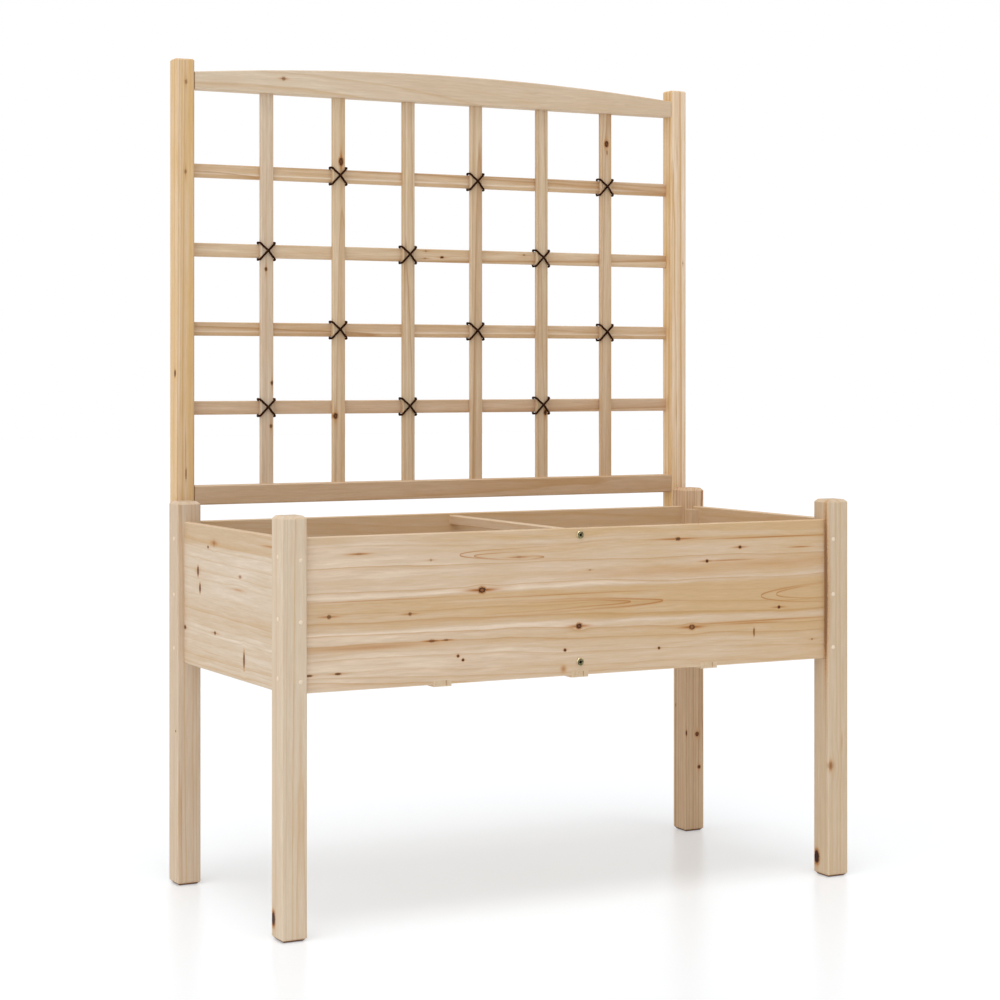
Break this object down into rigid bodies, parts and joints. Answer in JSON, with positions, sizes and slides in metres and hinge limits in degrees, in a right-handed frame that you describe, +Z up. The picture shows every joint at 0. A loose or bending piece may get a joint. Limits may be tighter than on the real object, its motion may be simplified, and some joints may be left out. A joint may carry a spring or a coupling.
{
  "type": "planter with trellis",
  "caption": "Raised wooden planter box on square legs, with an arched lattice trellis fixed behind it and its lath crossings lashed with cord.",
  "frame": {"origin": "on the floor, under the middle of the whole plan of planter and trellis", "axes": "+X to the right along the front, +Y from the front to the trellis behind, +Z up"},
  "size_m": [1.2074, 0.6072, 1.606],
  "materials": {
    "leg_fir": "planed and sanded fir, uncoated",
    "panel_fir": "planed edge-glued fir board, uncoated",
    "trellis_fir": "planed fir, uncoated, a little yellower than the box",
    "inner_fir": "sawn fir, uncoated",
    "button_wood": "turned pale wood",
    "tie_cord": "dark brown waxed cord",
    "plated_steel": "yellow zinc plated"
  },
  "bodies": {
    "root": {"back_panel": "panel_fir", "batten_back_left": "inner_fir", "batten_back_right": "inner_fir", "batten_front_left": "inner_fir", "batten_front_right": "inner_fir", "face_screws": "plated_steel", "floor_bar_left": "inner_fir", "floor_bar_middle": "inner_fir", "floor_bar_right": "inner_fir", "floor_ledge_left": "inner_fir", "floor_ledge_right": "inner_fir", "floor_slat_left_1": "inner_fir", "floor_slat_left_2": "inner_fir", "floor_slat_left_3": "inner_fir", "floor_slat_left_4": "inner_fir", "floor_slat_left_5": "inner_fir", "floor_slat_left_6": "inner_fir", "floor_slat_right_1": "inner_fir", "floor_slat_right_2": "inner_fir", "floor_slat_right_3": "inner_fir", "floor_slat_right_4": "inner_fir", "floor_slat_right_5": "inner_fir", "floor_slat_right_6": "inner_fir", "front_panel": "panel_fir", "lath_level_1": "trellis_fir", "lath_level_2": "trellis_fir", "lath_level_3": "trellis_fir", "lath_level_4": "trellis_fir", "lath_upright_1": "trellis_fir", "lath_upright_2": "trellis_fir", "lath_upright_3": "trellis_fir", "lath_upright_4": "trellis_fir", "lath_upright_5": "trellis_fir", "lath_upright_6": "trellis_fir", "left_panel": "panel_fir", "leg_back_left": "leg_fir", "leg_back_right": "leg_fir", "leg_front_left": "leg_fir", "leg_front_right": "leg_fir", "post_left": "trellis_fir", "post_right": "trellis_fir", "right_panel": "panel_fir", "screw_buttons": "button_wood", "side_screws": "plated_steel", "tie_bar_bolts": "plated_steel", "tie_bar_lower": "inner_fir", "tie_bar_nuts": "plated_steel", "tie_bar_upper": "inner_fir", "ties_row_1": "tie_cord", "ties_row_2": "tie_cord", "ties_row_3": "tie_cord", "ties_row_4": "tie_cord", "trellis_bottom_rail": "trellis_fir", "trellis_screws": "plated_steel", "trellis_top_rail": "trellis_fir"}
  },
  "joints": []
}
